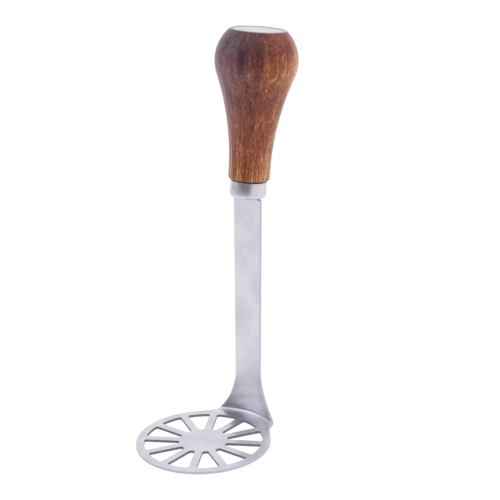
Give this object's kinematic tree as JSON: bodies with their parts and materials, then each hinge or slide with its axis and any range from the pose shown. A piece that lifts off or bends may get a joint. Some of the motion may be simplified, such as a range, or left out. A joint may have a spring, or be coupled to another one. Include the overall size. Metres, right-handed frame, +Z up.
{
  "type": "hand masher",
  "caption": "Small hand masher with a slotted round steel disc on a bent flat shank, a steel ferrule and a turned wooden bulb handle with a steel end disc.",
  "frame": {"origin": "centre of the round disc's flat underside, the face that presses on the food", "axes": "+Z up towards the handle, +Y from the disc's centre to the shank, +X to the right seen from the front"},
  "size_m": [0.05, 0.0782, 0.15],
  "materials": {
    "blade_steel": "satin brushed stainless steel",
    "ferrule_steel": "fine satin stainless steel",
    "handle_wood": "lacquered reddish brown hardwood",
    "cap_steel": "fine satin stainless steel",
    "cured_epoxy": "cured clear epoxy"
  },
  "bodies": {
    "root": {"masher_blade": "blade_steel", "ferrule": "ferrule_steel", "wooden_handle": "handle_wood", "end_cap": "cap_steel", "tang_adhesive": "cured_epoxy"}
  },
  "joints": []
}
